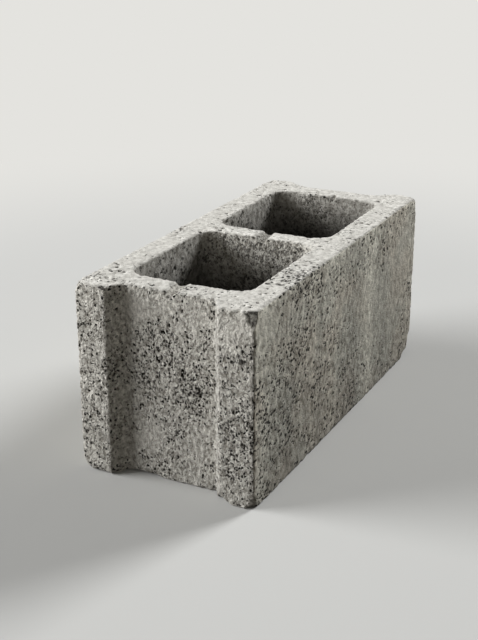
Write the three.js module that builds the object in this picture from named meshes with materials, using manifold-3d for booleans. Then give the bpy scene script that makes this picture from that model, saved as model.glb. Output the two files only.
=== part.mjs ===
// Hollow concrete block with two cores, cast in one piece and standing on its bed as it is laid.
// Millimetres, +Z up. X runs across the wall, Y along it, and the origin is the centre of the base.

import * as THREE from 'three';
import { mergeVertices } from 'three/addons/utils/BufferGeometryUtils.js';
import Module from 'manifold-3d';

// ---- the whole block ----
const LENGTH = 448; // along Y, over the ears
const WIDTH = 194; // along X, over the face shells
const HEIGHT = 203; // from bed to bed
const ARRIS = 1.2; // round on every horizontal edge
const OUTER_CORNER = 1.5; // round on the four upright corners

// ---- walls, as thick as they are at the top bed ----
const FACE_SHELL = 30.5;
const END_WEB = 30;
const CENTRE_WEB = 25;

// ---- cores ----
const CORE_CORNER = 20; // plan radius, which flares each web into the shells
const CORE_DRAFT = 2.5; // each side of a core is this much further in at the bottom

// ---- end recesses, between a pair of ears ----
const EAR_DEPTH = 17; // how far the ears stand out past the end web
const FRONT_EAR_WIDTH = 35.75; // flat face of an ear at the -Y end, before the shift below
const FRONT_FLANK_RUN = 11; // how far its inner flank leans across to the web
const FRONT_EAR_EDGE = 1.5; // round where the face turns into the flank
const FRONT_FLANK_FILLET = 2.5; // hollow round where the flank meets the web
const FRONT_RECESS_SHIFT = 2.25; // how far the recess lies off the middle, towards -X
const BACK_EAR_WIDTH = 25.5; // the same sizes at the +Y end, where the flanks lean more
const BACK_FLANK_RUN = 28;
const BACK_EAR_EDGE = 7;
const BACK_FLANK_FILLET = 16;

// ---- the mark of the bar that held the cores, across the top of the three webs ----
const BAR_MARK_FLOOR = 6;
const BAR_MARK_SIDE = 5; // how far each sloping side runs outwards
const BAR_MARK_DEPTH = 4;
const BAR_MARK_ROUND = 2;
const BAR_MARK_LAND = 19; // part of the +Y end web that it stops short of

// ---- how finely rounds are divided, and how far a cutter passes a face ----
const ARC_STEPS = 8;
const ARRIS_STEPS = 3;
const PAST = 5;

const wasm = await Module();
wasm.setup();

// A closed outline as points, with an arc at each corner [x, y, radius].
// An arc never takes more than its share of the edges that it joins.
function roundedOutline(corners) {
  const points = [];
  corners.forEach(([x, y, radius], i) => {
    const corner = new THREE.Vector2(x, y);
    const before = new THREE.Vector2(...corners.at(i - 1));
    const after = new THREE.Vector2(...corners[(i + 1) % corners.length]);
    const arriving = corner.clone().sub(before);
    const leaving = after.clone().sub(corner);
    const room = 0.48 * Math.min(arriving.length(), leaving.length());
    arriving.normalize();
    leaving.normalize();
    const turn = Math.atan2(arriving.cross(leaving), arriving.dot(leaving));
    const halfTan = Math.tan(Math.abs(turn) / 2);
    const side = Math.sign(turn);
    const r = Math.min(radius, room / halfTan);
    const centre = corner.clone().addScaledVector(arriving, -r * halfTan);
    centre.add(new THREE.Vector2(-arriving.y, arriving.x).multiplyScalar(side * r));
    const from = Math.atan2(-side * arriving.x, side * arriving.y);
    const arc = new THREE.EllipseCurve(centre.x, centre.y, r, r, from, from + turn, side < 0);
    points.push(...arc.getPoints(ARC_STEPS));
  });
  return points;
}

// A closed geometry through rings [{ z, points }], listed upwards, all with the same number of points.
function loft(rings) {
  const count = rings[0].points.length;
  const positions = rings.flatMap(({ z, points }) => points.flatMap((p) => [p.x, p.y, z]));
  const index = [];
  for (let ring = 0; ring < rings.length - 1; ring += 1) {
    for (let i = 0; i < count; i += 1) {
      const a = ring * count + i;
      const b = ring * count + ((i + 1) % count);
      index.push(a, b, b + count, a, b + count, a + count);
    }
  }
  const top = (rings.length - 1) * count;
  for (const [a, b, c] of THREE.ShapeUtils.triangulateShape(rings[0].points, [])) {
    index.push(a, c, b);
    index.push(top + a, top + b, top + c);
  }
  const geometry = new THREE.BufferGeometry();
  geometry.setAttribute('position', new THREE.Float32BufferAttribute(positions, 3));
  geometry.setIndex(index);
  return geometry;
}

function toSolid(geometry) {
  const bare = geometry.clone();
  bare.deleteAttribute('normal');
  bare.deleteAttribute('uv');
  const merged = mergeVertices(bare);
  const mesh = new wasm.Mesh({
    numProp: 3,
    vertProperties: new Float32Array(merged.attributes.position.array),
    triVerts: new Uint32Array(merged.index.array),
  });
  return new wasm.Manifold(mesh);
}

function toGeometry(solid) {
  const { vertProperties, triVerts } = solid.getMesh();
  const geometry = new THREE.BufferGeometry();
  geometry.setAttribute('position', new THREE.BufferAttribute(vertProperties, 3));
  geometry.setIndex(new THREE.BufferAttribute(triVerts, 1));
  geometry.computeVertexNormals();
  return geometry;
}

// The corners of the +Y end from its +X side round to its -X side: ear, flank, web, flank, ear.
// The recess between the ears is moved towards +X by shift.
function endCorners({ earWidth, flankRun, earEdge, flankFillet, shift }) {
  const faceY = LENGTH / 2;
  const webY = faceY - EAR_DEPTH;
  const earX = WIDTH / 2 - earWidth;
  const webX = earX - flankRun;
  return [
    [WIDTH / 2, faceY, OUTER_CORNER],
    [shift + earX, faceY, earEdge],
    [shift + webX, webY, flankFillet],
    [shift - webX, webY, flankFillet],
    [shift - earX, faceY, earEdge],
    [-WIDTH / 2, faceY, OUTER_CORNER],
  ];
}

// The outside of the block, with both ends' recesses: one outline extruded between the beds.
function outsideGeometry() {
  const back = endCorners({
    earWidth: BACK_EAR_WIDTH,
    flankRun: BACK_FLANK_RUN,
    earEdge: BACK_EAR_EDGE,
    flankFillet: BACK_FLANK_FILLET,
    shift: 0,
  });
  const front = endCorners({
    earWidth: FRONT_EAR_WIDTH,
    flankRun: FRONT_FLANK_RUN,
    earEdge: FRONT_EAR_EDGE,
    flankFillet: FRONT_FLANK_FILLET,
    shift: FRONT_RECESS_SHIFT, // the turn below brings +X to -X
  });
  const turned = front.map(([x, y, radius]) => [-x, -y, radius]);
  const outline = new THREE.Shape(roundedOutline([...back, ...turned]));
  const geometry = new THREE.ExtrudeGeometry(outline, {
    depth: HEIGHT - 2 * ARRIS,
    bevelEnabled: true,
    bevelThickness: ARRIS,
    bevelSize: ARRIS,
    bevelOffset: -ARRIS,
    bevelSegments: ARRIS_STEPS,
  });
  return geometry.translate(0, 0, ARRIS);
}

// How far a core's side stands out from its place at the bottom, at height z:
// the draft, and the round of each mouth.
function coreGrowth(z) {
  const toMouth = Math.min(z, HEIGHT - z);
  const inRound = Math.max(0, ARRIS - toMouth);
  return (CORE_DRAFT * z) / HEIGHT + ARRIS - Math.sqrt(ARRIS ** 2 - inRound ** 2);
}

// One core, from below the bottom bed to above the top one. side is 1 towards +Y, -1 towards -Y.
function coreGeometry(side) {
  const innerY = CENTRE_WEB / 2;
  const outerY = LENGTH / 2 - EAR_DEPTH - END_WEB;
  const centreY = (side * (innerY + outerY)) / 2;
  const halfX = WIDTH / 2 - FACE_SHELL - CORE_DRAFT;
  const halfY = (outerY - innerY) / 2 - CORE_DRAFT;
  const corner = CORE_CORNER - CORE_DRAFT;

  const ring = (z, atHeight) => {
    const grown = coreGrowth(atHeight);
    const x = halfX + grown;
    const y = halfY + grown;
    const r = corner + grown;
    const corners = [[x, y, r], [-x, y, r], [-x, -y, r], [x, -y, r]];
    const points = roundedOutline(corners);
    return { z, points: points.map((p) => new THREE.Vector2(p.x, p.y + centreY)) };
  };

  const rings = [ring(-PAST, 0)];
  for (let i = 0; i <= ARRIS_STEPS; i += 1) {
    const z = ARRIS * (1 - Math.cos((i / ARRIS_STEPS) * (Math.PI / 2)));
    rings.push(ring(z, z));
  }
  for (let i = ARRIS_STEPS; i >= 0; i -= 1) {
    const z = HEIGHT - ARRIS * (1 - Math.cos((i / ARRIS_STEPS) * (Math.PI / 2)));
    rings.push(ring(z, z));
  }
  rings.push(ring(HEIGHT + PAST, HEIGHT));
  return loft(rings);
}

// The shallow trough with sloping sides that the core bar leaves along the middle of the top.
// It opens at the -Y end and stops inside the +Y end web.
function barMarkGeometry() {
  const floorZ = HEIGHT - BAR_MARK_DEPTH;
  const topZ = HEIGHT + PAST;
  const floorX = BAR_MARK_FLOOR / 2;
  const topX = floorX + (BAR_MARK_SIDE * (topZ - floorZ)) / BAR_MARK_DEPTH;
  const profile = new THREE.Shape(roundedOutline([
    [-floorX, floorZ, BAR_MARK_ROUND],
    [floorX, floorZ, BAR_MARK_ROUND],
    [topX, topZ, BAR_MARK_ROUND],
    [-topX, topZ, BAR_MARK_ROUND],
  ]));
  const openY = -LENGTH / 2 - PAST;
  const stopY = LENGTH / 2 - EAR_DEPTH - BAR_MARK_LAND;
  const options = { depth: stopY - openY, bevelEnabled: false };
  return new THREE.ExtrudeGeometry(profile, options).rotateX(Math.PI / 2).translate(0, stopY, 0);
}

const block = toSolid(outsideGeometry())
  .subtract(toSolid(coreGeometry(-1)))
  .subtract(toSolid(coreGeometry(1)))
  .subtract(toSolid(barMarkGeometry()));

const concrete = new THREE.MeshStandardMaterial({ color: 0xa8a59c, roughness: 0.95, metalness: 0 });
const mesh = new THREE.Mesh(toGeometry(block), concrete);
mesh.name = 'concrete_block';

const group = new THREE.Group();
group.add(mesh);

export default group;
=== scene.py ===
import bpy
import bmesh
import numpy as np
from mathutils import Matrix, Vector


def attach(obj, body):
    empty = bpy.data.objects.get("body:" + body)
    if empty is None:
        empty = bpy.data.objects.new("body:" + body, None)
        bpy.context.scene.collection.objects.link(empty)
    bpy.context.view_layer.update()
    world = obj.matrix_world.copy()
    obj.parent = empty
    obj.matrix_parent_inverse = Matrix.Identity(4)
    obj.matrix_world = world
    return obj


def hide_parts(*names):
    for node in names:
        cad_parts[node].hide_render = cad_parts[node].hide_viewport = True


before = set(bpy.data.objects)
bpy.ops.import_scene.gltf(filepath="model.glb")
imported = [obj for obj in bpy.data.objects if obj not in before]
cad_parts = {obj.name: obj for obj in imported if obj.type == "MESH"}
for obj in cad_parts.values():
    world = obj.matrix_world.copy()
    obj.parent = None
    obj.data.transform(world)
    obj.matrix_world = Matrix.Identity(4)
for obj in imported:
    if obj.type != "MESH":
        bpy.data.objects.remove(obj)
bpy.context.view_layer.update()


# ---- Camera ----
# A three-quarter view from above, in front of the -Y end and to its right. The lens is a short
# telephoto, and the aim point puts the block a little left of and below the middle of the frame.
CAMERA_PLACE = Vector((0.5278, -1.1083, 0.5770))
AIM_POINT = Vector((-0.0264, -0.0109, 0.1019))
FOCAL_LENGTH_MM = 65.97
SENSOR_MM = 36.0

camera_data = bpy.data.cameras.new("camera")
camera_data.sensor_width = SENSOR_MM
camera_data.lens = FOCAL_LENGTH_MM
camera = bpy.data.objects.new("camera", camera_data)
camera.location = CAMERA_PLACE
camera.rotation_euler = (AIM_POINT - CAMERA_PLACE).to_track_quat("-Z", "Y").to_euler()
bpy.context.scene.collection.objects.link(camera)
bpy.context.scene.camera = camera


# ---- Floor ----
# A smooth matt studio floor, wide enough to fill every view. Near the block it is a lit surface that
# keeps the shadow, and further out it fades to one even pale colour. It gives the block little light.
FLOOR_SIZE = 60.0
FLOOR_SEEN = "#bcbbb7"
FLOOR_FAR_SEEN = "#e4e3df"
FLOOR_GIVING_LIGHT = "#3a3938"
SHADOW_REACH = 0.55
FADE_END = 1.3


def linear(hex_colour):
    """A written sRGB colour such as "#a0a0a0" as linear RGBA."""
    values = [int(hex_colour[i:i + 2], 16) / 255 for i in (1, 3, 5)]
    return [v / 12.92 if v <= 0.04045 else ((v + 0.055) / 1.055) ** 2.4 for v in values] + [1.0]


def add_node(tree, kind, inputs=None, **settings):
    """A new node with its settings. An input takes a value, a socket, or a node's first output."""
    node = tree.nodes.new(kind)
    for name, value in settings.items():
        setattr(node, name, value)
    for key, value in (inputs or {}).items():
        if isinstance(key, str):
            socket = next(s for s in node.inputs if s.enabled and s.name == key)
        else:
            socket = node.inputs[key]
        if isinstance(value, bpy.types.Node):
            value = next(s for s in value.outputs if s.enabled)
        if isinstance(value, bpy.types.NodeSocket):
            tree.links.new(value, socket)
        else:
            socket.default_value = value
    return node


floor_mesh = bpy.data.meshes.new("studio_floor")
floor_shape = bmesh.new()
bmesh.ops.create_grid(floor_shape, x_segments=1, y_segments=1, size=FLOOR_SIZE / 2)
floor_shape.to_mesh(floor_mesh)
floor_shape.free()
floor = bpy.data.objects.new("studio_floor", floor_mesh)
bpy.context.scene.collection.objects.link(floor)
paint = bpy.data.materials.new("matt_studio_paint")
paint.use_nodes = True
tree = paint.node_tree
ray = add_node(tree, "ShaderNodeLightPath")
seen = add_node(tree, "ShaderNodeMath", {
    0: ray.outputs["Is Camera Ray"], 1: ray.outputs["Is Glossy Ray"]}, operation="MAXIMUM")
seen = add_node(tree, "ShaderNodeMath", {
    0: seen, 1: ray.outputs["Is Transmission Ray"]}, operation="MAXIMUM")
colour = add_node(tree, "ShaderNodeMix", {
    "Factor": seen, "A": linear(FLOOR_GIVING_LIGHT), "B": linear(FLOOR_SEEN)}, data_type="RGBA")
lit = tree.nodes["Principled BSDF"]
lit.inputs["Roughness"].default_value = 1.0
lit.inputs["Specular IOR Level"].default_value = 0.0
tree.links.new(next(s for s in colour.outputs if s.enabled), lit.inputs["Base Color"])
even = add_node(tree, "ShaderNodeEmission", {"Color": linear(FLOOR_FAR_SEEN)})
place = add_node(tree, "ShaderNodeTexCoord").outputs["Object"]
away = add_node(tree, "ShaderNodeVectorMath", {0: place}, operation="LENGTH")
away = add_node(tree, "ShaderNodeMapRange", {
    "Value": away.outputs["Value"], "From Min": SHADOW_REACH, "From Max": FADE_END},
    interpolation_type="SMOOTHSTEP")
away = add_node(tree, "ShaderNodeMath", {0: away, 1: seen}, operation="MULTIPLY")
floor_look = add_node(tree, "ShaderNodeMixShader", {
    0: away, 1: lit.outputs["BSDF"], 2: even.outputs["Emission"]})
tree.links.new(floor_look.outputs["Shader"], tree.nodes["Material Output"].inputs["Surface"])
floor_mesh.materials.append(paint)


# ---- Light ----
# Two round soft boxes: a wide one in front to the left, 21 degrees up, and one behind, 31 degrees up.
# A weak low fill and a dim, slightly warm world light the shadows. Seen directly, the world is pale.
LAMP_DISTANCE = 8.0
AIM_HEIGHT = 0.12
WORLD_STRENGTH = 0.085

bpy.context.scene.view_settings.view_transform = "Standard"


def soft_box(name, direction, width, height, watts, colour):
    lamp = bpy.data.lights.new(name, "AREA")
    lamp.shape = "ELLIPSE"
    lamp.size = width
    lamp.size_y = height
    lamp.energy = watts
    lamp.color = linear(colour)[:3]
    holder = bpy.data.objects.new(name, lamp)
    holder.location = Vector(direction).normalized() * LAMP_DISTANCE + Vector((0, 0, AIM_HEIGHT))
    holder.rotation_euler = Vector(direction).to_track_quat("Z", "Y").to_euler()
    bpy.context.scene.collection.objects.link(holder)


soft_box("front_soft_box", (-2.36, -1.10, 1.0), 6.2, 4.2, 1065.0, "#fafcff")
soft_box("back_soft_box", (1.14, 2.35, 1.55), 3.0, 3.0, 800.0, "#fafcff")
soft_box("front_fill", (-0.1, -1.0, 0.35), 6.0, 3.0, 72.0, "#fdfaf4")

world = bpy.data.worlds.new("studio_world")
bpy.context.scene.world = world
world.use_nodes = True
tree = world.node_tree
light = tree.nodes["Background"]
light.inputs["Color"].default_value = linear("#f7f4ee")
light.inputs["Strength"].default_value = WORLD_STRENGTH
pale = add_node(tree, "ShaderNodeBackground", {"Color": linear(FLOOR_FAR_SEEN), "Strength": 1.0})
ray = add_node(tree, "ShaderNodeLightPath")
seen = add_node(tree, "ShaderNodeMath", {
    0: ray.outputs["Is Camera Ray"], 1: ray.outputs["Is Glossy Ray"]}, operation="MAXIMUM")
seen = add_node(tree, "ShaderNodeMath", {
    0: seen, 1: ray.outputs["Is Transmission Ray"]}, operation="MAXIMUM")
sky = add_node(tree, "ShaderNodeMixShader", {
    0: seen, 1: light.outputs["Background"], 2: pale.outputs["Background"]})
tree.links.new(sky.outputs["Shader"], tree.nodes["World Output"].inputs["Surface"])


# ---- Block ----
# One casting of pressed concrete: a dry mix of sand, grit and cement, packed into a steel mould,
# shaken, and pushed out at once, so its skin is open-grained and its edges crumble a little.
SKIN_STEP = 0.001
FACE_BUDGET = 197000
TOP_MM = 203
HALF_WIDTH_MM = 97
HALF_LENGTH_MM = 224

block_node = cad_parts["concrete_block"]
block_mesh = block_node.data.copy()
shape = bmesh.new()
shape.from_mesh(block_mesh)
bmesh.ops.remove_doubles(shape, verts=shape.verts, dist=1e-6)
shape.to_mesh(block_mesh)
shape.free()
block = bpy.data.objects.new("cast_block", block_mesh)
bpy.context.scene.collection.objects.link(block)


def apply_modifiers(piece):
    """The piece's modifiers made part of its mesh, and taken off."""
    depsgraph = bpy.context.evaluated_depsgraph_get()
    mesh = bpy.data.meshes.new_from_object(piece.evaluated_get(depsgraph))
    piece.modifiers.clear()
    piece.data = mesh


skin = block.modifiers.new("even_skin", "REMESH")
skin.mode = "VOXEL"
skin.voxel_size = SKIN_STEP
apply_modifiers(block)


# Worn corners: the corner, which way it points, the radius it is worn to, and how far along its
# edges the wear reaches. Broken corners: the corner, and how far along each axis the break runs.
WORN_CORNERS_MM = (
    ((-97, -224, 203), (-1, -1, 1), 7, 10),
    ((-97, -224, 0), (-1, -1, -1), 9, 16),
    ((59, -224, 0), (-1, -1, -1), 9, 13),
    ((97, -224, 0), (1, -1, -1), 8, 12),
    ((-78, -224, 0), (0, -1, -1), 6, 22),
    ((-34, -207, 0), (0, -1, -1), 7, 24),
    ((97, 224, 0), (1, 1, -1), 13, 34),
    ((97, 224, 203), (1, 1, 1), 7, 22),
    ((-97, 224, 203), (-1, 1, 1), 6, 20),
)
BROKEN_CORNERS_MM = (
    ((97, -224, 203), (-12, 8, -17)),
)

# The bar marks as they really cross the webs, torn and wandering where the bar was pulled out: at two
# places along Y, the left lip, both edges of the floor and the right lip along X, and the depth.
BAR_MARKS_MM = (
    ((-207, (-6, -2, 3, 8), 4.0), (-177, (-11, -6, 0, 5), 4.0)),
    ((-12.5, (-9, 0, 3, 10), 7.0), (12.5, (-8, -2, 2, 7), 4.0)),
    ((177, (4.5, 6.5, 6.7, 11), 5.5), (188, (4.5, 6.5, 6.7, 11), 0.0)),
)

# The plain mark that they start from: half its floor, its depth, how far a side runs out for each
# millimetre down, and where it stops. Then what is moved with it: how far down, out and past a web.
MARK_HALF_FLOOR_MM = 3
MARK_DEPTH_MM = 4
MARK_SIDE_SLOPE = 5 / 4
MARK_STOP_MM = 189
MARK_FOOT_MM = 195
MARK_REACH_MM = 14
WEB_MARGIN_MM = 3
THINNEST_MARK_MM = 0.3

# How far the grain stands outside the moulded faces, on the upright ones.
PROUD_MM = 0.4

# Scoops where a bigger grain came away: its middle, just outside the skin, and its radius. First come
# the near edge and its ears, then the mouths of the cores, the top, and the torn edge on the right.
SCOOPS_MM = (
    ((-66.5, -224.5, 203.0), 3.2), ((-60.5, -222, 203.5), 2.2), ((-90.0, -224.5, 201.0), 2.8),
    ((-42.5, -207.5, 203.3), 1.8), ((-29.5, -207.8, 201.5), 2.1), ((-25.0, -207.5, 203.5), 1.6),
    ((-14.6, -207.8, 202.5), 1.9), ((-7.5, -207.8, 202.5), 2.2), ((15.8, -207.8, 203.0), 2.6),
    ((0.8, -195.6, 199.5), 1.8), ((4.0, -205.0, 200.8), 1.8), ((-19.5, -207.8, 186.6), 2.0),
    ((16.6, -13.0, 203.5), 2.2), ((23.1, -13.0, 203.5), 2.5), ((27.3, -13.0, 203.0), 2.2),
    ((40.2, -13.0, 203.5), 2.2), ((48.3, -13.0, 203.5), 2.4), ((-8.6, -13.0, 202.5), 2.2),
    ((2.3, -13.2, 197.4), 2.0), ((37.8, 176.5, 203.5), 3.0), ((-5.2, 176.5, 202.0), 2.6),
    ((72.0, -145, 203.8), 2.8), ((82.0, -142, 203.6), 3.0), ((87.2, -142, 203.8), 2.4),
    ((73.0, -133, 203.8), 2.2), ((85.5, -132, 203.8), 2.0), ((79.0, -175, 203.8), 2.4),
    ((83.0, -171, 203.8), 2.0), ((90.4, -114, 203.6), 2.8), ((90.0, -101, 203.8), 2.2),
    ((93.0, -79, 203.6), 2.6), ((70.0, -121, 203.8), 2.0), ((93.8, -149, 203.6), 2.2),
    ((87.0, -186, 203.8), 2.0), ((78.0, -157, 203.8), 2.0), ((83.0, -78, 203.8), 2.0),
    ((-87.0, -161, 203.8), 2.4), ((-69.4, -178, 203.8), 2.4), ((-90.6, -189, 203.8), 2.0),
    ((-80.8, -209, 203.8), 2.2), ((-46.6, -185, 203.8), 2.2), ((-63.6, -204, 203.8), 2.2),
    ((98.4, -169, 201.0), 2.6), ((98.4, -161, 202.0), 2.8), ((98.4, -146, 202.5), 2.9),
    ((98.0, -140, 203.4), 2.4), ((98.4, -119, 203.4), 2.8), ((98.0, -113, 200.5), 2.0),
    ((98.4, -103, 203.2), 3.0), ((98.2, -97, 201.0), 2.5), ((98.2, -89, 201.5), 2.4),
    ((98.4, -66, 201.5), 2.6), ((98.4, -60, 203.4), 3.0), ((98.0, -131, 202.0), 2.0),
    ((-14.0, -207.8, 199.5), 1.7), ((-6.0, -208.2, 200.5), 2.4), ((-2.0, -208.2, 197.0), 2.4),
    ((7.5, -206.0, 203.4), 2.2), ((44.3, -207.5, 202.5), 2.0), ((26.5, -207.5, 202.8), 2.0),
    ((-11.0, -188.0, 203.6), 2.0), ((-7.0, -192.0, 202.4), 2.2), ((22.5, -13.0, 188.8), 1.7),
    ((16.7, -13.0, 201.5), 1.9), ((-7.0, -13.0, 201.5), 1.9), ((-3.0, -13.0, 201.0), 1.6),
    ((1.0, -13.0, 195.5), 2.2), ((-16.0, -13.0, 180.0), 1.7), ((49.0, -13.0, 195.5), 1.9),
    ((42.0, -13.0, 191.0), 1.7), ((-40.0, -13.0, 203.2), 2.0), ((33.0, -13.0, 202.5), 1.6),
)


def worn_round(points, corner, facing, radius, reach):
    """Points near a corner, drawn in to a round that fades out along the corner's edges."""
    facing = np.array(facing, float)
    middle = np.array(corner, float) - facing * radius
    beyond = np.maximum(0, (points - middle) * facing)
    length = np.linalg.norm(beyond, axis=1)
    excess = np.maximum(0, length - radius) / np.maximum(length, 1e-9)
    near = np.clip(1.6 * (1 - np.linalg.norm(points - corner, axis=1) / reach), 0, 1)
    near = near * near * (3 - 2 * near)
    return points - beyond * facing * (excess * near)[:, None]


def broken_off(points, corner, along):
    """Points past the plane that cuts a corner's three edges, brought back to it, and how far past."""
    slope = -1 / np.array(along, float)
    beyond = np.maximum(0, (points - corner) @ slope + 1)
    return points - beyond[:, None] * slope / (slope @ slope), beyond


def bar_marked(points, near, far):
    """Points on one web, moved from the plain straight bar mark to the one that really crosses it."""
    (near_y, near_lips, near_depth), (far_y, far_lips, far_depth) = near, far
    x, y, z = points.T
    along = np.clip((y - near_y) / (far_y - near_y), 0, 1)
    left, floor_left, floor_right, right = (
        a + (b - a) * along for a, b in zip(near_lips, far_lips))
    depth = near_depth + (far_depth - near_depth) * along
    inside = np.minimum((x - left) / (floor_left - left), (right - x) / (right - floor_right))
    own_floor = TOP_MM - depth * np.clip(inside, 0, 1)
    plain = np.clip(MARK_DEPTH_MM - (np.abs(x) - MARK_HALF_FLOOR_MM) / MARK_SIDE_SLOPE, 0, MARK_DEPTH_MM)
    plain = plain * (y < MARK_STOP_MM)
    floor = TOP_MM - plain
    below = np.clip((z - MARK_FOOT_MM) / (floor - MARK_FOOT_MM), 0, 1)
    moved = z + (own_floor - floor) * below
    above = np.clip((z - floor) / np.maximum(plain, THINNEST_MARK_MM), 0, 1)
    above = own_floor + above * (TOP_MM - own_floor)
    moved = np.where((z > floor) & (plain > THINNEST_MARK_MM), above, moved)
    on_web = (y > near_y - WEB_MARGIN_MM) & (y < far_y + WEB_MARGIN_MM)
    on_web = on_web & (np.abs(x) < MARK_REACH_MM) & (z > MARK_FOOT_MM)
    return np.column_stack((x, y, np.where(on_web, moved, z)))


def scooped(points, middle, radius):
    """Points inside a ball, pushed out to its surface, and how far inside they were, from 0 to 1."""
    away = points - middle
    length = np.maximum(1e-9, np.linalg.norm(away, axis=1))
    moved = np.where((length < radius)[:, None], middle + away / length[:, None] * radius, points)
    return moved, np.clip(1 - length / radius, 0, 1)


points = np.empty(len(block.data.vertices) * 3, dtype=np.float32)
block.data.vertices.foreach_get("co", points)
points = points.reshape(-1, 3).astype(float) * 1000
for corner, facing, radius, reach in WORN_CORNERS_MM:
    points = worn_round(points, corner, facing, radius, reach)
# Painted shade for the hollows: how dark the colour is made on the broken corner and inside each scoop,
# from 0 to 0.95, kept as an attribute for the material.
hollow_painted_shade = np.zeros(len(points))
points[:, 0] *= 1 + PROUD_MM / HALF_WIDTH_MM
points[:, 1] *= 1 + PROUD_MM / HALF_LENGTH_MM
for corner, along in BROKEN_CORNERS_MM:
    points, beyond = broken_off(points, corner, along)
    hollow_painted_shade = np.maximum(hollow_painted_shade, np.clip(beyond * 6, 0, 0.6))
for near, far in BAR_MARKS_MM:
    points = bar_marked(points, near, far)
for middle, radius in SCOOPS_MM:
    points, inside = scooped(points, middle, radius)
    hollow_painted_shade = np.maximum(hollow_painted_shade, np.clip(inside * 3 - 0.6, 0, 0.95))
block.data.vertices.foreach_set("co", (points / 1000).astype(np.float32).ravel())
torn_painted_shade = block.data.attributes.new("torn_painted_shade", "FLOAT", "POINT")
torn_painted_shade.data.foreach_set("value", hollow_painted_shade.astype(np.float32))


# The skin's sizes in mm: how far apart its voids and pits lie and how wide the widest are, how far
# apart its grains lie, how coarse its sand is, how far its smeared and open patches reach, and how
# finely and how far all of its marks are bent. A share of 1 would put a hollow in every place.
VOID_CELL_MM = 6.5
WIDEST_VOID_MM = 3.8
VOID_SHARE = 0.5
PIT_CELL_MM = 2.9
WIDEST_PIT_MM = 2.6
PIT_SHARE = 0.8
GRAIN_MM = 1.8
SAND_MM = 3.6
PATCH_MM = 32.0
BEND_CELL_MM = 2.2
BEND_MM = 3.2

# How the skin differs between the ends, the long sides, the webs' and then the shells' faces in the
# cores, and the beds. The first two are a scale along X, Y and Z, smaller the further marks are drawn.
# Next come what is added to how open the skin is and to how many voids it has, how far its tones
# spread, how high the sand stands, how dark the painted shade in the pits is and how lumpy the skin is,
# how domed the grains are, and what the colour is multiplied by, which in the cores is painted light.
GRAIN_DRAWN = ((1.0, 0.75, 0.72), (0.9, 0.55, 0.42), (0.8, 0.75, 0.7), (0.9, 0.5, 0.4), (0.7, 0.6, 0.7))
PITS_DRAWN = ((1.0, 0.75, 0.8), (0.88, 0.5, 0.76), (1.1, 1.0, 0.9), (0.9, 0.6, 0.7), (0.8, 0.72, 0.7))
OPENNESS = (0.0, -0.13, 0.0, -0.1, -0.3)
HOLLOWNESS = (0.0, 0.5, 0.0, 0.0, 0.6)
TONE_SPREAD = (1.4, 1.3, 1.15, 1.9, 0.75)
BUMP_MM = (4.2, 1.3, 4.0, 1.0, 1.2)
PIT_DARKNESS = (1.1, 1.5, 0.7, 0.7, 1.0)
LUMPINESS = (1.0, 0.3, 2.3, 0.8, 0.7)
DOME = (1.2, 0.5, 1.2, 0.4, 0.6)
# Painted light: the cores' 1.16 lifts the colour of their walls, against the painted shade that darkens
# them from under the mouth down.
LEVEL_AND_PAINTED_LIGHT = ((1.0, 1.0, 1.0), (0.96, 0.96, 0.96), (1.16, 1.16, 1.16), (1.0, 1.0, 1.0),
         (1.0, 1.01, 1.03))

# Patches where the skin is more open, and less where the mould smeared it smooth: the middle, how
# far each reaches, and how much more open it is.
PATCHES_MM = (
    ((-38, -207, 182), 30, -1.0), ((8, -207, 168), 12, -0.7), ((80, -224, 185), 28, -0.9),
    ((97, -200, 185), 30, -0.6), ((-20, -207, 45), 26, -0.6), ((97, 130, 90), 90, -0.75),
    ((97, 190, 150), 70, -0.5), ((14, -207, 100), 38, 0.45),
    ((82, -224, 85), 42, 0.35), ((97, -190, 60), 55, 0.35), ((97, -130, 120), 60, 0.3),
    ((88, -110, 203), 50, 0.8), ((10, -195, 205), 20, 0.4), ((-80, -195, 203), 34, 0.3),
    ((-8, -207, 190), 24, -0.8), ((0, -13, 165), 70, 0.4), ((45, -13, 175), 40, 0.2),
    ((24, -207, 185), 26, -0.6), ((97, 50, 120), 80, -0.45), ((20, -207, 28), 34, -0.45),
    ((-50, -212, 24), 30, -0.5), ((-54, -215, 75), 34, -0.25),
    ((-150, -130, 95), 130, -1.0), ((-150, 0, 80), 130, -1.1), ((-150, 130, 100), 130, -1.0),
)


# Where the parts meet, in mm from the middle: the long sides' faces, the cores' walls across and
# along the block, the part of a core where its walls are a shell's, and the beds, measured in Z.
SIDE_FACE_MM = 96.8
CORE_WALL_MM = 68.0
CORES_END_MM = 179.0
SHELL_WALL_MM = 60.0
BEDS_MIDDLE_MM = 101.5
NEARLY_TO_BED_MM = 100.0


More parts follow.
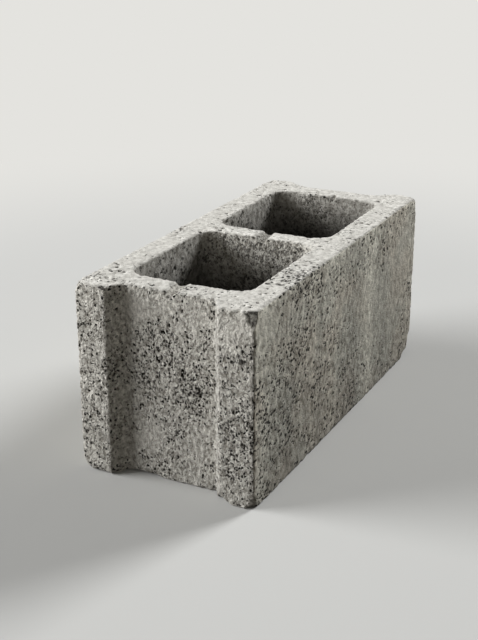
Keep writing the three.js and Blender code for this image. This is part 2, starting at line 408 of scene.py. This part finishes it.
def regions_at(tree, place):
    """Whether a place in mm is on each part of the skin, in the order above without the ends: 1 or 0."""
    across = add_node(tree, "ShaderNodeVectorMath", {0: place}, operation="ABSOLUTE")
    across = add_node(tree, "ShaderNodeSeparateXYZ", {"Vector": across})
    side = add_node(tree, "ShaderNodeMath", {
        0: across.outputs["X"], 1: SIDE_FACE_MM}, operation="GREATER_THAN")
    core = add_node(tree, "ShaderNodeMath", {
        0: across.outputs["X"], 1: CORE_WALL_MM}, operation="LESS_THAN")
    within = add_node(tree, "ShaderNodeMath", {
        0: across.outputs["Y"], 1: CORES_END_MM}, operation="LESS_THAN")
    core = add_node(tree, "ShaderNodeMath", {0: core, 1: within}, operation="MULTIPLY")
    shell = add_node(tree, "ShaderNodeMath", {
        0: across.outputs["X"], 1: SHELL_WALL_MM}, operation="GREATER_THAN")
    shell = add_node(tree, "ShaderNodeMath", {0: core, 1: shell}, operation="MULTIPLY")
    bed = add_node(tree, "ShaderNodeMath", {
        0: across.outputs["Z"], 1: BEDS_MIDDLE_MM, 2: NEARLY_TO_BED_MM}, operation="COMPARE")
    bed = add_node(tree, "ShaderNodeMath", {0: 1.0, 1: bed}, operation="SUBTRACT")
    return side, core, shell, bed


def by_part(tree, parts, values):
    """The first value on the ends, and each next one on its part."""
    picked = values[0]
    kind = "VECTOR" if isinstance(picked, tuple) else "FLOAT"
    for part, value in zip(parts, values[1:]):
        picked = add_node(tree, "ShaderNodeMix", {
            "Factor": part, "A": picked, "B": value}, data_type=kind)
    return picked


def drawn_place(tree, place, parts, drawn):
    """A place in mm, bent a little at random, and scaled as the marks are drawn out on each part."""
    bend = add_node(tree, "ShaderNodeTexNoise", {
        "Vector": place, "Scale": 1 / BEND_CELL_MM, "Detail": 1.0})
    bent = add_node(tree, "ShaderNodeVectorMath", {
        0: bend.outputs["Color"], 1: (BEND_MM, BEND_MM, BEND_MM), 2: place}, operation="MULTIPLY_ADD")
    return add_node(tree, "ShaderNodeVectorMath", {
        0: bent, 1: by_part(tree, parts, drawn)}, operation="MULTIPLY")


def open_skin_at(tree, place, parts):
    """How open the skin is at a place in mm, from 0 where it is smeared smooth to 1."""
    skin = add_node(tree, "ShaderNodeTexNoise", {"Vector": place, "Scale": 1 / PATCH_MM, "Detail": 3.0})
    skin = add_node(tree, "ShaderNodeMapRange", {
        "Value": skin, "From Min": 0.3, "From Max": 0.7, "To Min": 0.3, "To Max": 0.95},
        clamp=False)
    skin = add_node(tree, "ShaderNodeMath", {
        0: skin, 1: by_part(tree, parts, OPENNESS)}, operation="ADD")
    for middle, reach, gain in PATCHES_MM:
        away = add_node(tree, "ShaderNodeVectorMath", {0: place, 1: middle}, operation="DISTANCE")
        away = add_node(tree, "ShaderNodeMapRange", {
            "Value": away.outputs["Value"], "From Min": 0.0, "From Max": reach,
            "To Min": gain, "To Max": 0.0}, interpolation_type="SMOOTHSTEP")
        skin = add_node(tree, "ShaderNodeMath", {0: skin, 1: away}, operation="ADD")
    return add_node(tree, "ShaderNodeClamp", {"Value": skin})


def voids_at(tree, spot, open_skin, parts):
    """How far into one of the bigger voids a drawn-out place is, from 0 to 1."""
    hollow = add_node(tree, "ShaderNodeMath", {
        0: open_skin, 1: by_part(tree, parts, HOLLOWNESS)}, operation="ADD", use_clamp=True)
    return pits_at(tree, spot, hollow, VOID_CELL_MM, VOID_SHARE, WIDEST_VOID_MM)


def pits_at(tree, bent, open_skin, cell_mm, share, widest_mm):
    """How far into a pit a bent place is, 0 to 1. The more open the skin, the more cells hold a pit."""
    cell = add_node(tree, "ShaderNodeTexVoronoi", {"Vector": bent, "Scale": 1 / cell_mm})
    chance = add_node(tree, "ShaderNodeSeparateXYZ", {"Vector": cell.outputs["Color"]})
    radius = add_node(tree, "ShaderNodeMath", {
        0: open_skin, 1: share, 2: chance}, operation="MULTIPLY_ADD")
    radius = add_node(tree, "ShaderNodeMapRange", {
        "Value": radius, "From Min": 1.0, "From Max": 1.35, "To Min": 0.0,
        "To Max": widest_mm / 2 / cell_mm})
    inside = add_node(tree, "ShaderNodeMath", {0: radius, 1: cell}, operation="SUBTRACT")
    return add_node(tree, "ShaderNodeMapRange", {
        "Value": inside, "From Min": -0.02, "From Max": 0.25 / cell_mm}, interpolation_type="SMOOTHSTEP")


# The relief's own sizes in mm: how far apart chips, lumps and waves lie, and the stretch beside the
# bar mark over which the chips come back to their full size.
CHIP_MM = 7.0
LUMP_MM = 6.0
WAVE_MM = 45.0
BESIDE_MARK_MM = (8.0, 16.0)

relief = bpy.data.node_groups.new("concrete_relief", "GeometryNodeTree")
relief.interface.new_socket("Geometry", in_out="INPUT", socket_type="NodeSocketGeometry")
relief.interface.new_socket("Geometry", in_out="OUTPUT", socket_type="NodeSocketGeometry")
for name in ("Void Depth", "Lump Height", "Waviness", "Arris Wear"):
    relief.interface.new_socket(name, in_out="INPUT", socket_type="NodeSocketFloat")
relief.interface.new_socket("Concrete", in_out="INPUT", socket_type="NodeSocketMaterial")
given = add_node(relief, "NodeGroupInput")
position = add_node(relief, "GeometryNodeInputPosition")
place = add_node(relief, "ShaderNodeVectorMath", {
    0: position, 1: (1000, 1000, 1000)}, operation="MULTIPLY")
kept = add_node(relief, "GeometryNodeStoreNamedAttribute", {
    "Geometry": given.outputs["Geometry"], "Name": "cast_place", "Value": place},
    data_type="FLOAT_VECTOR")
parts = regions_at(relief, place)
open_skin = open_skin_at(relief, place, parts)
void = voids_at(relief, drawn_place(relief, place, parts, PITS_DRAWN), open_skin, parts)
outward = add_node(relief, "GeometryNodeBlurAttribute", {
    "Value": add_node(relief, "GeometryNodeInputNormal"), "Iterations": 8}, data_type="FLOAT_VECTOR")
outward = add_node(relief, "ShaderNodeVectorMath", {0: outward}, operation="NORMALIZE")
rounded = add_node(relief, "GeometryNodeBlurAttribute", {
    "Value": place, "Iterations": 24}, data_type="FLOAT_VECTOR")
proud = add_node(relief, "ShaderNodeVectorMath", {0: place, 1: rounded}, operation="SUBTRACT")
proud = add_node(relief, "ShaderNodeVectorMath", {0: proud, 1: outward}, operation="DOT_PRODUCT")
proud = add_node(relief, "ShaderNodeMapRange", {
    "Value": proud.outputs["Value"], "From Min": 0.1, "From Max": 0.9})
chips = add_node(relief, "ShaderNodeTexNoise", {"Vector": place, "Scale": 1 / CHIP_MM, "Detail": 3.0})
chips = add_node(relief, "ShaderNodeMapRange", {"Value": chips, "From Min": 0.5, "From Max": 0.7})
chips = add_node(relief, "ShaderNodeMath", {0: chips, 1: proud}, operation="MULTIPLY")
beside = add_node(relief, "ShaderNodeVectorMath", {0: place}, operation="ABSOLUTE")
beside = add_node(relief, "ShaderNodeSeparateXYZ", {"Vector": beside})
beside = add_node(relief, "ShaderNodeMapRange", {
    "Value": beside.outputs["X"], "From Min": BESIDE_MARK_MM[0], "From Max": BESIDE_MARK_MM[1],
    "To Min": 0.35})
chips = add_node(relief, "ShaderNodeMath", {0: chips, 1: beside}, operation="MULTIPLY")
lumps = add_node(relief, "ShaderNodeTexNoise", {"Vector": place, "Scale": 1 / LUMP_MM, "Detail": 2.0})
lumps = add_node(relief, "ShaderNodeMath", {0: lumps, 1: 0.5}, operation="SUBTRACT")
lumps = add_node(relief, "ShaderNodeMath", {
    0: lumps, 1: by_part(relief, parts, LUMPINESS)}, operation="MULTIPLY")
wave = add_node(relief, "ShaderNodeTexNoise", {"Vector": place, "Scale": 1 / WAVE_MM, "Detail": 1.0})
wave = add_node(relief, "ShaderNodeMath", {0: wave, 1: 0.5}, operation="SUBTRACT")
height = 0.0
for part, size in ((wave, "Waviness"), (lumps, "Lump Height")):
    height = add_node(relief, "ShaderNodeMath", {
        0: part, 1: given.outputs[size], 2: height}, operation="MULTIPLY_ADD")
for part, size in ((void, "Void Depth"), (chips, "Arris Wear")):
    lowered = add_node(relief, "ShaderNodeMath", {0: part, 1: given.outputs[size]}, operation="MULTIPLY")
    height = add_node(relief, "ShaderNodeMath", {0: height, 1: lowered}, operation="SUBTRACT")
metres = add_node(relief, "ShaderNodeMath", {0: height, 1: 0.001}, operation="MULTIPLY")
offset = add_node(relief, "ShaderNodeVectorMath", {0: outward, "Scale": metres}, operation="SCALE")
moved = add_node(relief, "GeometryNodeSetPosition", {"Geometry": kept, "Offset": offset})
real = add_node(relief, "GeometryNodeRealizeInstances", {"Geometry": moved})
dressed = add_node(relief, "GeometryNodeSetMaterial", {
    "Geometry": real, "Material": given.outputs["Concrete"]})
add_node(relief, "NodeGroupOutput", {"Geometry": dressed})

# Paler and darker bands down the right side, partly where the mould plate rubbed it and partly painted
# shading of its gentle waves: the middle of each along Y, its half width and how much paler it is.
SIDE_RUB_AND_WAVE_SHADE_BANDS = (
    (-222, 38, 0.28), (-145, 32, -0.14), (-87, 12, 0.08), (-69, 9, -0.12), (-36, 32, 0.14),
    (14, 28, -0.12), (33, 20, -0.09), (70, 30, 0.30), (76, 12, 0.10), (123, 18, -0.09),
    (205, 60, 0.12),
)

# The same along X for the near end, as painted light and shade: the ears and the left flank, which lies
# in shadow, are painted paler than the web, and the right flank, which catches the light, is painted
# darker. And along Y for the webs' faces in the cores, where the middle web is painted paler and the far
# web darker.
END_PAINTED_LIGHT_BANDS = ((-84, 24, 0.17), (-58, 10, 0.22), (53.5, 8, -0.16), (80, 24, 0.11))
WEB_PAINTED_LIGHT_BANDS = ((-13, 20, 0.2), (177, 20, -0.08))
END_FACE_MM = -206.4

# Inside the cores the colour is darkened as painted shade, from just under the mouth, and again further
# down. Each is the height where it starts, the height where it is full, and how much darker it then is.
UNDER_MOUTH = (203.0, 200.2, 0.42)
DEEP_DOWN = (195.0, 130.0, 0.62)
# The span of the cores across X and along Y that this painted shade fills, and the stretch over which it
# fades at their walls.
CORE_SPAN_MM = {"X": 67.0, "Y": 178.0}
CORE_SPAN_EDGE_MM = 2.0

# Pressed concrete, dry and open-grained: rough all over with no sheen, a warm grey, with painted shade
# in the gaps where the cement paste didn't fill between the grains of sand and grit, and in its pits and
# voids.
concrete = bpy.data.materials.new("pressed_concrete")
concrete.use_nodes = True
tree = concrete.node_tree
shader = tree.nodes["Principled BSDF"]
shader.inputs["Roughness"].default_value = 0.92
shader.inputs["Diffuse Roughness"].default_value = 0.3
shader.inputs["Specular IOR Level"].default_value = 0.2
place = add_node(tree, "ShaderNodeAttribute", attribute_name="cast_place").outputs["Vector"]
parts = regions_at(tree, place)
open_skin = open_skin_at(tree, place, parts)
spot = drawn_place(tree, place, parts, PITS_DRAWN)
void = voids_at(tree, spot, open_skin, parts)
pit = pits_at(tree, spot, open_skin, PIT_CELL_MM, PIT_SHARE, WIDEST_PIT_MM)
grain = add_node(tree, "ShaderNodeTexVoronoi", {"Vector": spot, "Scale": 1 / GRAIN_MM})
closed = add_node(tree, "ShaderNodeMapRange", {
    "Value": open_skin, "To Min": 0.95, "To Max": 0.62})
gap = add_node(tree, "ShaderNodeMath", {0: grain, 1: closed}, operation="SUBTRACT")
gap = add_node(tree, "ShaderNodeMapRange", {
    "Value": gap, "From Min": 0.0, "From Max": 0.14, "To Max": 0.8}, interpolation_type="SMOOTHSTEP")
pit = add_node(tree, "ShaderNodeMath", {0: pit, 1: gap}, operation="MAXIMUM")
sand = add_node(tree, "ShaderNodeTexNoise", {
    "Vector": drawn_place(tree, place, parts, GRAIN_DRAWN), "Scale": 1 / SAND_MM, "Detail": 3.0,
    "Roughness": 0.7})
rough = add_node(tree, "ShaderNodeMapRange", {"Value": open_skin, "To Min": 0.5, "To Max": 1.0})
spread = add_node(tree, "ShaderNodeMath", {
    0: rough, 1: by_part(tree, parts, TONE_SPREAD)}, operation="MULTIPLY")
clear = add_node(tree, "ShaderNodeMapRange", {"Value": sand, "From Min": 0.34, "From Max": 0.66})
clear = add_node(tree, "ShaderNodeMix", {"Factor": spread, "A": 0.62, "B": clear})
colour = add_node(tree, "ShaderNodeMix", {
    "Factor": clear, "A": linear("#7c776d"), "B": linear("#e6e2d8")}, data_type="RGBA")
# Painted shade on the broken corner and in the scoops, broken up by the sand.
torn_painted_shade = add_node(tree, "ShaderNodeAttribute", attribute_name="torn_painted_shade").outputs["Fac"]
pit_painted_shade = add_node(tree, "ShaderNodeMath", {0: void, 1: pit}, operation="MAXIMUM")
pit_painted_shade = add_node(tree, "ShaderNodeMath", {
    0: pit_painted_shade, 1: by_part(tree, parts, PIT_DARKNESS)}, operation="MULTIPLY")
ragged = add_node(tree, "ShaderNodeMapRange", {
    "Value": sand, "From Min": 0.62, "From Max": 0.4, "To Min": 0.1, "To Max": 1.3})
torn_painted_shade = add_node(tree, "ShaderNodeMath", {0: torn_painted_shade, 1: ragged}, operation="MULTIPLY", use_clamp=True)
pit_painted_shade = add_node(tree, "ShaderNodeMath", {0: pit_painted_shade, 1: torn_painted_shade}, operation="MAXIMUM")
# Painted shade: the pits, voids, gaps and torn places are darkened towards near black for the shade
# inside them.
colour = add_node(tree, "ShaderNodeMix", {
    "Factor": pit_painted_shade, "A": colour, "B": linear("#24211c")}, data_type="RGBA")
stain = add_node(tree, "ShaderNodeTexNoise", {"Vector": place, "Scale": 1 / 60.0, "Detail": 1.0})
stain = add_node(tree, "ShaderNodeMapRange", {"Value": stain, "From Min": 0.4, "From Max": 0.6})
stain = add_node(tree, "ShaderNodeMix", {
    "Factor": stain, "A": linear("#f8f8f2"), "B": linear("#f8f4ec")}, data_type="RGBA")
colour = add_node(tree, "ShaderNodeMix", {
    "Factor": parts[0], "A": colour, "B": stain}, data_type="RGBA", blend_type="MULTIPLY")
axes = add_node(tree, "ShaderNodeSeparateXYZ", {"Vector": place})
# Painted light falloff: the colour grows paler with height on every part, and more so on the long side.
painted_light_by_height = add_node(tree, "ShaderNodeMapRange", {
    "Value": axes.outputs["Z"], "From Min": 0.0, "From Max": TOP_MM, "To Min": 0.88, "To Max": 1.1})
on_side = add_node(tree, "ShaderNodeMath", {
    0: axes.outputs["X"], 1: SIDE_FACE_MM}, operation="GREATER_THAN")
in_front = add_node(tree, "ShaderNodeMath", {
    0: axes.outputs["Y"], 1: END_FACE_MM}, operation="LESS_THAN")
side_falloff_painted = add_node(tree, "ShaderNodeMapRange", {
    "Value": axes.outputs["Z"], "From Min": 0.0, "From Max": TOP_MM, "To Min": -0.17, "To Max": 0.12})
shade = add_node(tree, "ShaderNodeMath", {0: side_falloff_painted, 1: on_side, 2: painted_light_by_height}, operation="MULTIPLY_ADD")
# Bands added to the colour's scale: on the long side partly painted shading, on the near end and the
# webs' faces in the cores painted light and shade.
for bands, axis, where in (
        (SIDE_RUB_AND_WAVE_SHADE_BANDS, "Y", on_side), (END_PAINTED_LIGHT_BANDS, "X", in_front), (WEB_PAINTED_LIGHT_BANDS, "Y", parts[1])):
    for middle, half_width, gain in bands:
        off = add_node(tree, "ShaderNodeMath", {0: axes.outputs[axis], 1: middle}, operation="SUBTRACT")
        off = add_node(tree, "ShaderNodeMath", {0: off}, operation="ABSOLUTE")
        band = add_node(tree, "ShaderNodeMapRange", {
            "Value": off, "From Min": 0.0, "From Max": half_width, "To Min": gain, "To Max": 0.0},
            interpolation_type="SMOOTHSTEP")
        shade = add_node(tree, "ShaderNodeMath", {0: band, 1: where, 2: shade}, operation="MULTIPLY_ADD")
# Painted shade inside the cores: darker below the mouth and again further down, only within the cores'
# span.
depth = 0.0
for starts, full, gain in (UNDER_MOUTH, DEEP_DOWN):
    deeper = add_node(tree, "ShaderNodeMapRange", {
        "Value": axes.outputs["Z"], "From Min": starts, "From Max": full, "To Min": 0.0,
        "To Max": gain})
    depth = add_node(tree, "ShaderNodeMath", {0: depth, 1: deeper}, operation="ADD")
core_painted_shade = depth
for axis, reach in CORE_SPAN_MM.items():
    off = add_node(tree, "ShaderNodeMath", {0: axes.outputs[axis]}, operation="ABSOLUTE")
    off = add_node(tree, "ShaderNodeMapRange", {
        "Value": off, "From Min": reach, "From Max": reach + CORE_SPAN_EDGE_MM, "To Min": 1.0,
        "To Max": 0.0})
    core_painted_shade = add_node(tree, "ShaderNodeMath", {0: core_painted_shade, 1: off}, operation="MULTIPLY")
shade = add_node(tree, "ShaderNodeMath", {0: shade, 1: core_painted_shade}, operation="SUBTRACT")
colour = add_node(tree, "ShaderNodeVectorMath", {
    0: colour, "Scale": shade}, operation="SCALE")
colour = add_node(tree, "ShaderNodeVectorMath", {
    0: colour, 1: by_part(tree, parts, LEVEL_AND_PAINTED_LIGHT)}, operation="MULTIPLY")
tree.links.new(next(s for s in colour.outputs if s.enabled), shader.inputs["Base Color"])
dome = add_node(tree, "ShaderNodeMath", {0: grain, 1: 2.0}, operation="POWER")
rise = add_node(tree, "ShaderNodeMath", {
    0: rough, 1: by_part(tree, parts, BUMP_MM)}, operation="MULTIPLY")
rise = add_node(tree, "ShaderNodeMath", {0: rise, 1: sand}, operation="MULTIPLY")
dome = add_node(tree, "ShaderNodeMath", {
    0: dome, 1: by_part(tree, parts, DOME)}, operation="MULTIPLY")
rise = add_node(tree, "ShaderNodeMath", {0: dome, 1: -0.7, 2: rise}, operation="MULTIPLY_ADD")
rise = add_node(tree, "ShaderNodeMath", {0: pit, 1: -1.5, 2: rise}, operation="MULTIPLY_ADD")
bump = add_node(tree, "ShaderNodeBump", {"Height": rise, "Strength": 1.0, "Distance": 0.001})
tree.links.new(bump.outputs["Normal"], shader.inputs["Normal"])

dressing = block.modifiers.new("relief", "NODES")
dressing.node_group = relief
sizes = {"Void Depth": 2.2, "Lump Height": 1.0, "Waviness": 1.2, "Arris Wear": 2.1,
         "Concrete": concrete}
for item in relief.interface.items_tree:
    if item.name in sizes:
        dressing[item.identifier] = sizes[item.name]
apply_modifiers(block)
thin = block.modifiers.new("thin", "DECIMATE")
thin.ratio = FACE_BUDGET / (2 * len(block.data.polygons))
apply_modifiers(block)
block.data.shade_smooth()

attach(block, "root")
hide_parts("concrete_block")
